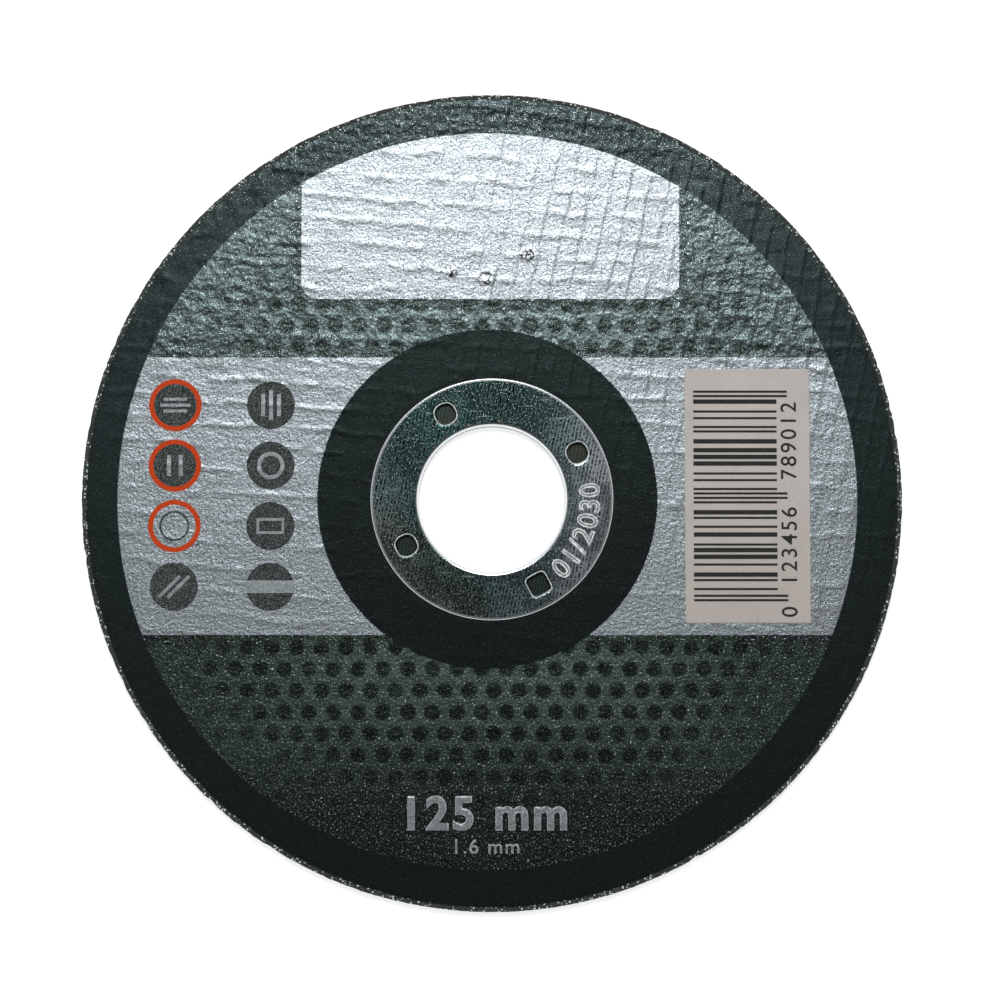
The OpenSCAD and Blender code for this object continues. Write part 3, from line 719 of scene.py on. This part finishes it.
# The abrasive disc: a closed profile carried round the axis, with a ragged rim, the mesh showing on
# the back, and pits under the claws
body = dict(around=720, backRings=84, rimRows=8, floorRings=22, ragged=0.16, bite=0.16, backDepth=0.14)
discAngle = np.linspace(0, 2 * np.pi, body["around"], endpoint=False)[:, None]
rollClearR = wheel["boreR"] + wheel["boreRoll"] + wheel["ringFit"]
holeR = wheel["boreR"] + wheel["sheet"] + wheel["ringFit"]
seatWallR = seatR + wheel["labelThickness"]
seatFloorZ = labelTop - wheel["seatDepth"] - wheel["labelThickness"]
rimInR = discR - 0.9
backR = np.linspace(holeR + 0.2, rimInR, body["backRings"])
rimZ = np.linspace(0.1, discTop - 0.1, body["rimRows"])
frontR = np.linspace(discR - 0.2, labelR - 0.6, 7)
floorR = np.linspace(seatWallR - 0.02, rollClearR, body["floorRings"])
stationR = np.concatenate([[holeR, holeR], backR, [discR - 0.35], np.full(len(rimZ), discR), frontR,
                           [seatWallR, seatWallR], floorR])
stationZ = np.concatenate([[seatFloorZ - (rollClearR - holeR), 0.0], np.zeros(len(backR)), [0.07], rimZ,
                           np.full(len(frontR), discTop - 0.01), [discTop, seatFloorZ],
                           np.full(len(floorR), seatFloorZ)])
firstBack, lastBack = 2, 2 + len(backR)
firstRim, lastRim = lastBack + 1, lastBack + 1 + len(rimZ)
firstFront, lastFront = lastRim, lastRim + len(frontR)
discX, discY = stationR * np.cos(discAngle), stationR * np.sin(discAngle)
discZ = np.broadcast_to(stationZ, discX.shape).copy()


def backRelief(x, y):
    # Glass yarns both ways, left standing on the back face; the resin sinks between them
    pitch = press["pitch"]
    def yarn(across, along, seed):
        place = (across + 0.8 * (latticeNoise(x, y, 11, seed) - 0.5)) / pitch
        gap = np.abs(place - np.floor(place) - 0.5) * pitch
        twist = 0.9 + 0.1 * np.sin(2 * np.pi * along / (pitch / 2))
        return np.exp(-(gap / 0.55) ** 2) * twist
    weave = np.maximum(yarn(y, x, 21), yarn(x, y, 22))
    rough = 0.2 * latticeNoise(x, y, 0.9, 23)
    return body["backDepth"] * np.clip(1 - weave + rough, 0, 1.2)


backSpan = slice(firstBack, lastBack)
edgeFade = smoothStep(backR, holeR + 0.2, holeR + 1.5) * (1 - smoothStep(backR, rimInR - 1, rimInR))
discZ[:, backSpan] = backRelief(discX[:, backSpan], discY[:, backSpan]) * edgeFade
discZ[:, backSpan] += 0.07 * (1 - edgeFade) * (edgeFade < 1)
rimSpan = slice(firstRim - 1, lastRim + 2)
turnX, turnY = discR * np.cos(discAngle), discR * np.sin(discAngle)
level = np.arange(rimSpan.stop - rimSpan.start)[None, :] * 7.3
chips = latticeNoise(turnX + level, turnY - level, 0.55, 31) * body["ragged"]
bites = body["bite"] * smoothStep(latticeNoise(turnX, turnY, 1.7, 32), 0.72, 0.95)
trim = 1 - (chips + bites) / discR
discX[:, rimSpan] *= trim
discY[:, rimSpan] *= trim
frontSpan = slice(firstFront, lastFront)
discZ[:, frontSpan] -= 0.10 * latticeNoise(discX[:, frontSpan], discY[:, frontSpan], 0.5, 33)
clawAngles = np.radians(wheel["clawAngle"] + np.arange(wheel["clawHoles"]) * 360 / wheel["clawHoles"])
pitR = wheel["clawOpenR"] + wheel["clawRoll"] + wheel["ringFit"]
floorSpan = slice(len(stationR) - len(floorR), len(stationR))
for turn in clawAngles:
    pitX, pitY = clawCircleR * math.cos(turn), clawCircleR * math.sin(turn)
    apart = np.hypot(discX[:, floorSpan] - pitX, discY[:, floorSpan] - pitY)
    sunk = 1 - smoothStep(apart, pitR - 0.15, pitR)
    discZ[:, floorSpan] += sunk * (wheel["clawFloor"] - seatFloorZ)
discMesh = gridMesh("grain_disc", np.stack([discX, discY, discZ], -1), wrapU=True, wrapV=True)
discMesh.set_sharp_from_angle(angle=math.radians(40))
addPiece("grain_disc", discMesh, grainMaterial, ["abrasive_disc"])
print("grain disc:", len(discMesh.polygons), "quads")

# The sticker follows the embossed face, softened by its own paper
sticker = dict(columns=80, rows=160, soften=0.44)
stickerThickness = stickerHigh[2] - stickerLow[2]


def stickerHeight(x, y):
    return labelTop + filmHeight + sticker["soften"] * pressRelief(x, y) + stickerThickness


stickerX = np.linspace(stickerLow[0], stickerHigh[0], sticker["columns"])[:, None]
stickerY = np.linspace(stickerLow[1], stickerHigh[1], sticker["rows"])[None, :]
stickerX, stickerY = np.broadcast_arrays(stickerX, stickerY)
stickerMesh = gridMesh("paper_sticker", np.stack([stickerX, stickerY, stickerHeight(stickerX, stickerY)], -1))
stickerPiece = addPiece("paper_sticker", stickerMesh, paperMaterial, ["barcode_sticker"])
thicken(stickerPiece, stickerThickness)

# Bars of a made-up code: two bars for each digit and guard bars at the ends and the middle
code = dict(modules=95, digit=7, perHalf=6, near=3, far=50, guards=(0, 2, 46, 48, 92, 94),
            reach=1.6, samples=56, ink=0.022)
moduleWidth = (barsHigh[1] - barsLow[1]) / code["modules"]
digit = np.arange(code["perHalf"])
lead, wide, end = 1 + (5 * digit + 1) % 2, 1 + np.floor(digit * digit + digit / 2) % 2, 1 + (digit // 2) % 2
nearAt, farAt = code["near"] + digit * code["digit"], code["far"] + digit * code["digit"]
starts = np.concatenate([code["guards"], nearAt + lead, nearAt + code["digit"] - end, farAt,
                         farAt + code["digit"] - lead - wide])
widths = np.concatenate([np.ones(len(code["guards"])), wide, end, end, wide])
reach = np.where(np.arange(len(starts)) < len(code["guards"]), 0, -code["reach"])
along = np.linspace(0, 1, code["samples"])[None, :, None]
barX = barsLow[0] + along * (barsHigh[0] - barsLow[0] + reach[:, None, None])
barSides = np.array([0, 1])[None, None, :]
barY = barsLow[1] + moduleWidth * (starts[:, None, None] + widths[:, None, None] * barSides)
barX, barY = np.broadcast_arrays(barX, barY)
barZ = stickerHeight(barX, barY) + code["ink"]
barMesh = gridMesh("code_bars", np.stack([barX, barY, barZ], -1), smooth=False)
thicken(addPiece("code_bars", barMesh, barInk, ["sticker_bars"]), code["ink"])
print("sticker and bars made")

# The arbor ring: one pressed sheet. Its top follows the flange, dips into four pierced cups and rolls
# down into the bore as a collar; the underside is the same surface, one sheet lower
ring = dict(around=600, flangeRings=62, arc=8, drop=0.016, warp=0.010, edgeRound=0.2, collarBottom=0.1,
            cupFloor=0.75, cupSheet=0.1, squareHole=3)
ringAngle = np.linspace(0, 2 * np.pi, ring["around"], endpoint=False)[:, None]
flangeTop = ringTop - ring["drop"]
rollR = wheel["boreRoll"]
outward = np.linspace(0, np.pi / 2, ring["arc"])
flatR = np.linspace(wheel["boreR"] + rollR, flangeR - ring["edgeRound"], ring["flangeRings"])


def flangeSurface(x, y):
    # Flat with a slow warp; round each pierced hole the sheet turns down over a small radius, then
    # drops to the cup. One hole is squarish: its distance uses a higher power than two.
    z = flangeTop + ring["warp"] * (latticeNoise(x, y, 7, 41) - 1)
    cup = np.zeros_like(z, bool)
    for number, turn in enumerate(clawAngles):
        c, n = math.cos(turn), math.sin(turn)
        u = (x - clawCircleR * c) * c + (y - clawCircleR * n) * n
        v = (y - clawCircleR * n) * c - (x - clawCircleR * c) * n
        power = 5.0 if number == ring["squareHole"] else 2.4
        apart = (np.abs(u) ** power + np.abs(v) ** power) ** (1 / power)
        inward = np.clip(wheel["clawOpenR"] + wheel["clawRoll"] - apart, 0, wheel["clawRoll"])
        z = z - (wheel["clawRoll"] - np.sqrt(wheel["clawRoll"] ** 2 - inward ** 2))
        cup |= apart < wheel["clawOpenR"]
    return np.where(cup, ring["cupFloor"], z), cup


flangeX, flangeY = flatR * np.cos(ringAngle), flatR * np.sin(ringAngle)
topZ, cup = flangeSurface(flangeX, flangeY)
lowZ = topZ - np.where(cup, ring["cupSheet"], wheel["sheet"] - ring["drop"])


def carried(r, z):
    # A profile carried round the axis
    r, z = np.broadcast_to(r, (ring["around"], len(r))), np.broadcast_to(z, (ring["around"], len(r)))
    return np.stack([r * np.cos(ringAngle), r * np.sin(ringAngle), z], -1)


edgeR = flangeR - ring["edgeRound"] * (1 - np.sin(outward[1:]))
edgeZ = flangeTop - ring["edgeRound"] * (1 - np.cos(outward[1:]))
innerRollR = rollR - wheel["sheet"]
rollCentre = wheel["boreR"] + rollR
inward = outward[::-1][:-1]
ringPoints = np.concatenate([
    np.stack([flangeX, flangeY, topZ], -1),
    carried(edgeR, edgeZ),
    carried(np.array([flangeR - 0.02]), np.array([ringTop - wheel["sheet"]])),
    np.stack([flangeX, flangeY, lowZ], -1)[:, ::-1],
    carried(rollCentre - innerRollR * np.sin(outward[1:]),
            ringTop - rollR + innerRollR * np.cos(outward[1:])),
    carried(np.array([wheel["boreR"] + wheel["sheet"], wheel["boreR"]]), np.full(2, ring["collarBottom"])),
    carried(rollCentre - rollR * np.sin(inward), flangeTop - rollR + rollR * np.cos(inward)),
], 1)
ringMesh = gridMesh("pressed_ring", ringPoints, wrapU=True, wrapV=True)
ringMesh.set_sharp_from_angle(angle=math.radians(45))
addPiece("pressed_ring", ringMesh, steelMaterial, ["arbor_ring"])
print("pressed ring:", len(ringMesh.polygons), "quads")

# A thin burr round each pierced hole: a small round section carried along the hole's outline
burr = dict(around=96, section=8, reach=0.24, thick=0.10)
burrTurn = np.linspace(0, 2 * np.pi, burr["around"], endpoint=False)[None, :, None]
burrRound = np.linspace(0, 2 * np.pi, burr["section"], endpoint=False)[None, None, :]
burrPower = np.where(np.arange(wheel["clawHoles"]) == ring["squareHole"], 5.0, 2.4)[:, None, None]
outline = (np.abs(np.cos(burrTurn)) ** burrPower + np.abs(np.sin(burrTurn)) ** burrPower) ** (-1 / burrPower)
burrR = (wheel["clawOpenR"] + burr["reach"]) * outline + burr["thick"] * np.cos(burrRound)
burrOut, burrAside = clawCircleR + burrR * np.cos(burrTurn), burrR * np.sin(burrTurn)
burrCos, burrSin = np.cos(clawAngles)[:, None, None], np.sin(clawAngles)[:, None, None]
burrZ = ringTop - 0.002 - burr["thick"] * (1 - np.sin(burrRound)) + 0 * burrOut
burrX, burrY = burrOut * burrCos - burrAside * burrSin, burrOut * burrSin + burrAside * burrCos
burrMesh = gridMesh("claw_burrs", np.stack([burrX, burrY, burrZ], -1), wrapU=True, wrapV=True)
# The burrs carry the painted highlight of the stamped edges
addPiece("claw_burrs", burrMesh, stampHighlightMaterial)


def numerals(text, height, longest, spread=0.0, outline=0.0, spacing=1.08):
    # Plain numbers in the built-in font as a mesh, in millimetres round the origin, cut finely
    # enough to be laid on a curved face; returned with its points
    curve = bpy.data.curves.new("numerals", "FONT")
    curve.body = text
    curve.align_x, curve.align_y = "CENTER", "CENTER"
    curve.offset = spread
    curve.space_character = spacing
    if outline:
        curve.fill_mode = "NONE"
        curve.bevel_depth = outline
        curve.bevel_resolution = 1
    holder = bpy.data.objects.new("numerals", curve)
    bpy.context.scene.collection.objects.link(holder)
    mesh = bpy.data.meshes.new_from_object(holder.evaluated_get(bpy.context.evaluated_depsgraph_get()))
    bpy.data.objects.remove(holder)
    bpy.data.curves.remove(curve)
    points = np.empty(len(mesh.vertices) * 3, np.float32)
    mesh.vertices.foreach_get("co", points)
    scale = height / np.ptp(points.reshape(-1, 3)[:, 1])
    cut = bmesh.new()
    cut.from_mesh(mesh)
    bmesh.ops.remove_doubles(cut, verts=cut.verts, dist=1e-5)
    for _ in range(6):
        bmesh.ops.triangulate(cut, faces=cut.faces)
        longEdges = [edge for edge in cut.edges if edge.calc_length() * scale > longest]
        if not longEdges:
            break
        bmesh.ops.subdivide_edges(cut, edges=longEdges, cuts=1)
    bmesh.ops.triangulate(cut, faces=cut.faces)
    cut.to_mesh(mesh)
    cut.free()
    points = np.empty(len(mesh.vertices) * 3, np.float32)
    mesh.vertices.foreach_get("co", points)
    points = points.reshape(-1, 3).astype(float) * scale
    points[:, :2] -= (points[:, :2].max(0) + points[:, :2].min(0)) / 2
    return mesh, points


def layPoints(mesh, points):
    mesh.vertices.foreach_set("co", (points * mm).astype(np.float32).ravel())
    mesh.update()
    return mesh


# A plain number stamped into the flange, read from inside: its outline bends round the ring
stamp = dict(text="01/2030", height=3.3, radius=14.9, middle=-20.0, stroke=0.032)
stampMesh, letters = numerals(stamp["text"], stamp["height"], 0.6, outline=stamp["stroke"])
stampTurn = math.radians(stamp["middle"]) + letters[:, 0] / stamp["radius"]
stampR = stamp["radius"] - letters[:, 1]
stampX, stampY = stampR * np.cos(stampTurn), stampR * np.sin(stampTurn)
stampZ = np.clip(flangeTop + letters[:, 2] * 0.4, None, ringTop - 0.001)
layPoints(stampMesh, np.stack([stampX, stampY, stampZ], -1))
# The stamp carries the painted highlight of the stamped edges
addPiece("date_stamp", stampMesh, stampHighlightMaterial)
print("stamp:", len(stampMesh.polygons), "faces")

# Badges: plain dark discs and orange rings, with simple shapes on them
badge = dict(columns=(-48.3, -33.7), row=9.25, ringR=4.0, line=0.75, discR=3.65, around=72, lift=0.022)


def film(name, x, y, material, lift, wrapU=False):
    # Ink laid on the embossed face: a grid of places, lifted by its thickness
    mesh = gridMesh(name, np.stack([x, y, faceHeight(x, y) + lift], -1), wrapU=wrapU, smooth=False)
    return thicken(addPiece(name, mesh, material), lift)


def filmRings(name, centres, radii, material, lift):
    # Rings: centre plus radius times direction
    turn = np.linspace(0, 2 * np.pi, badge["around"], endpoint=False)[None, :, None]
    centres, radii = np.asarray(centres, float), np.asarray(radii, float)
    r = np.linspace(radii[:, 0], radii[:, 1], 4, axis=-1)[:, None, :]
    x, y = centres[:, 0, None, None] + r * np.cos(turn), centres[:, 1, None, None] + r * np.sin(turn)
    return film(name, x, y, material, lift, wrapU=True)


def filmDiscs(name, centres, radii, material, lift):
    # Discs: a square of u and v pressed into a circle, u by the root of 1 - v squared / 2 and the same for v
    u, v = np.meshgrid(np.linspace(-1, 1, 26), np.linspace(-1, 1, 26), indexing="ij")
    centres, radii = np.asarray(centres, float), np.asarray(radii, float)[:, None, None]
    return film(name, centres[:, 0, None, None] + radii * u * np.sqrt(1 - v * v / 2),
                centres[:, 1, None, None] + radii * v * np.sqrt(1 - u * u / 2), material, lift)


def filmStrips(name, strips, material, lift):
    # Straight strips: centre x and y, angle in degrees, length and width
    cx, cy, turn, length, width = (column[:, None, None] for column in np.asarray(strips, float).T)
    turn = np.radians(turn)
    u = np.linspace(-0.5, 0.5, 36)[None, :, None] * length
    v = np.linspace(-0.5, 0.5, 8)[None, None, :] * width
    return film(name, cx + u * np.cos(turn) - v * np.sin(turn), cy + u * np.sin(turn) + v * np.cos(turn),
                material, lift)


badgeRows = label["shift"][1] + label["bandY"] + badge["row"] * np.array([1.5, 0.5, -0.5, -1.5])
leftX, rightX = badge["columns"]
innerR = badge["ringR"] - badge["line"]
inkLift = badge["lift"]
darkAt = [(leftX, badgeRows[k]) for k in (0, 1, 3)] + [(rightX, y) for y in badgeRows]
filmDiscs("dark_badges", darkAt, [innerR, innerR] + [badge["discR"]] * 5, darkInk, inkLift)
filmRings("orange_rings", [(leftX, y) for y in badgeRows[:3]], [(innerR, badge["ringR"])] * 3, orangeInk,
          inkLift + 0.002)
filmRings("thin_ring", [(leftX, badgeRows[2])], [(2.0, 2.3)], darkInk, inkLift)
firstY, secondY, thirdY, fourthY = badgeRows
paleStrips = [(leftX, firstY + 0.9, 0, 3.6, 0.45), (leftX, firstY, 0, 4.6, 0.45),
              (leftX, firstY - 0.9, 0, 3.6, 0.45),
              (leftX - 0.9, secondY, 90, 3.2, 0.6), (leftX + 0.9, secondY, 90, 3.2, 0.6),
              (leftX - 0.7, fourthY, 45, 4.6, 0.5), (leftX + 0.7, fourthY, 45, 4.6, 0.5),
              (rightX - 1.2, firstY, 90, 3.4, 0.6), (rightX, firstY, 90, 4.6, 0.6),
              (rightX + 1.2, firstY, 90, 3.4, 0.6),
              (rightX, thirdY + 1.0, 0, 4.2, 0.4), (rightX, thirdY - 1.0, 0, 4.2, 0.4),
              (rightX - 1.9, thirdY, 90, 1.6, 0.4), (rightX + 1.9, thirdY, 90, 1.6, 0.4),
              (rightX, fourthY, 0, 7.4, 1.9)]
filmStrips("pale_strips", paleStrips, foilMaterial, inkLift + 0.012)
filmRings("pale_rings", [(rightX, secondY)], [(1.5, 2.1)], foilMaterial, inkLift + 0.012)
print("badges made")

# The wheel's size in plain numbers, left open in the ink at the foot of the print
sizeLines = dict(first=("125 mm", 5.3, -0.7, -47.6, 0.032), second=("1.6 mm", 2.2, -0.7, -52.6, 0.006))
for name, (text, height, midX, midY, spread) in sizeLines.items():
    lineMesh, letters = numerals(text, height, 0.5, spread=spread, spacing=1.14)
    lineX, lineY = letters[:, 0] + midX, letters[:, 1] + midY
    layPoints(lineMesh, np.stack([lineX, lineY, faceHeight(lineX, lineY) + inkLift], -1))
    thicken(addPiece("size_" + name, lineMesh, foilMaterial), inkLift)

# Plain counting numbers beside the bars, read upwards
digits = dict(height=2.4, x=45.2, groups=(("0", -17.2), ("123456", -6.9), ("789012", 8.9)))
for number, (text, midY) in enumerate(digits["groups"]):
    lineMesh, letters = numerals(text, digits["height"], 0.6, spread=0.004, spacing=1.22)
    lineX, lineY = digits["x"] - letters[:, 1], midY + letters[:, 0]
    layPoints(lineMesh, np.stack([lineX, lineY, stickerHeight(lineX, lineY) + 0.016], -1))
    thicken(addPiece("code_digits_%d" % number, lineMesh, barInk), 0.016)
print("numbers made")

# The CAD paper keeps its shape and takes the printed finish
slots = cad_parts["label"].data.materials
slots.clear()
slots.append(printedMaterial)

# Stage: a white floor, soft light from beyond the top of the print, and a darker ceiling for the metal
stage = dict(floor="#fbfbfb", floorGlow=0.56, floorSize=3.0, keyPower=2.55, keyTilt=27.5, keyDistance=0.9,
             keySize=(0.26, 0.30), keySide=-0.015, sky=1.15, skyEdge=(0.5, 0.8), zenith=0.05)
floorMaterial, floorTree, floorShader = newMaterial("matt white paper floor", {
    "Base Color": linear(stage["floor"]), "Roughness": 0.9, "Specular IOR Level": 0.1,
    "Emission Color": (1, 1, 1, 1)})
rays = addNode(floorTree, "ShaderNodeLightPath")
seen = addNode(floorTree, mathNode, {"operation": "MAXIMUM"}, {
    0: rays["Is Camera Ray"], 1: rays["Is Glossy Ray"]})[0]
seen = addNode(floorTree, mathNode, {"operation": "MAXIMUM"}, {0: seen, 1: rays["Is Transmission Ray"]})[0]
glowSeen = addNode(floorTree, mathNode, {"operation": "MULTIPLY"}, {0: seen, 1: stage["floorGlow"]})[0]
floorTree.links.new(glowSeen, floorShader.inputs["Emission Strength"])
bpy.ops.mesh.primitive_plane_add(size=stage["floorSize"], location=(0, 0, -0.0001))
floorObject = bpy.context.object
floorObject.name = "floor"
floorObject.data.materials.append(floorMaterial)

world = bpy.data.worlds.new("studio")
bpy.context.scene.world = world
world.use_nodes = True
worldTree = world.node_tree
direction = addNode(worldTree, coordNode)["Generated"]
rise = addNode(worldTree, splitNode, None, {0: direction})["Z"]
glow = addNode(worldTree, rangeNode, smoothRange, {
    "Value": rise, "From Min": stage["skyEdge"][0], "From Max": stage["skyEdge"][1],
    "To Min": stage["sky"], "To Max": stage["zenith"]})[0]
sky = worldTree.nodes["Background"]
sky.inputs["Color"].default_value = (1, 1, 1, 1)
worldTree.links.new(glow, sky.inputs["Strength"])

keyTilt = math.radians(stage["keyTilt"])
keyData = bpy.data.lights.new("key", "AREA")
keyData.shape = "RECTANGLE"
keyData.size, keyData.size_y = stage["keySize"]
keyData.energy = stage["keyPower"]
key = bpy.data.objects.new("key", keyData)
keyFar = stage["keyDistance"]
key.location = (stage["keySide"], keyFar * math.sin(keyTilt), keyFar * math.cos(keyTilt))
key.rotation_euler = (-keyTilt, 0, 0)
bpy.context.scene.collection.objects.link(key)

# Camera: the photograph's scale at the label, and where it shows the axis, in its 1000 pixel frame
photo = dict(pixelsPerMm=6.57, axisPixel=(491.9, 499.0), width=1000, elevation=85.0, distance=0.5,
             sensor=36.0)
eye = math.radians(photo["elevation"])
aimX, aimY = ((photo["width"] / 2 - p) / photo["pixelsPerMm"] * mm for p in photo["axisPixel"])
aim = np.array([aimX, -aimY, labelTop * mm])
towards = np.array([0, -math.cos(eye), math.sin(eye)])
cameraData = bpy.data.cameras.new("camera")
cameraData.sensor_width = photo["sensor"]
cameraData.lens = photo["sensor"] * photo["pixelsPerMm"] / mm * photo["distance"] / photo["width"]
camera = bpy.data.objects.new("camera", cameraData)
camera.location = aim + towards * photo["distance"]
camera.rotation_euler = (math.pi / 2 - eye, 0, 0)
bpy.context.scene.collection.objects.link(camera)
bpy.context.scene.camera = camera
bpy.context.scene.view_settings.view_transform = "Standard"
print("stage and camera set")
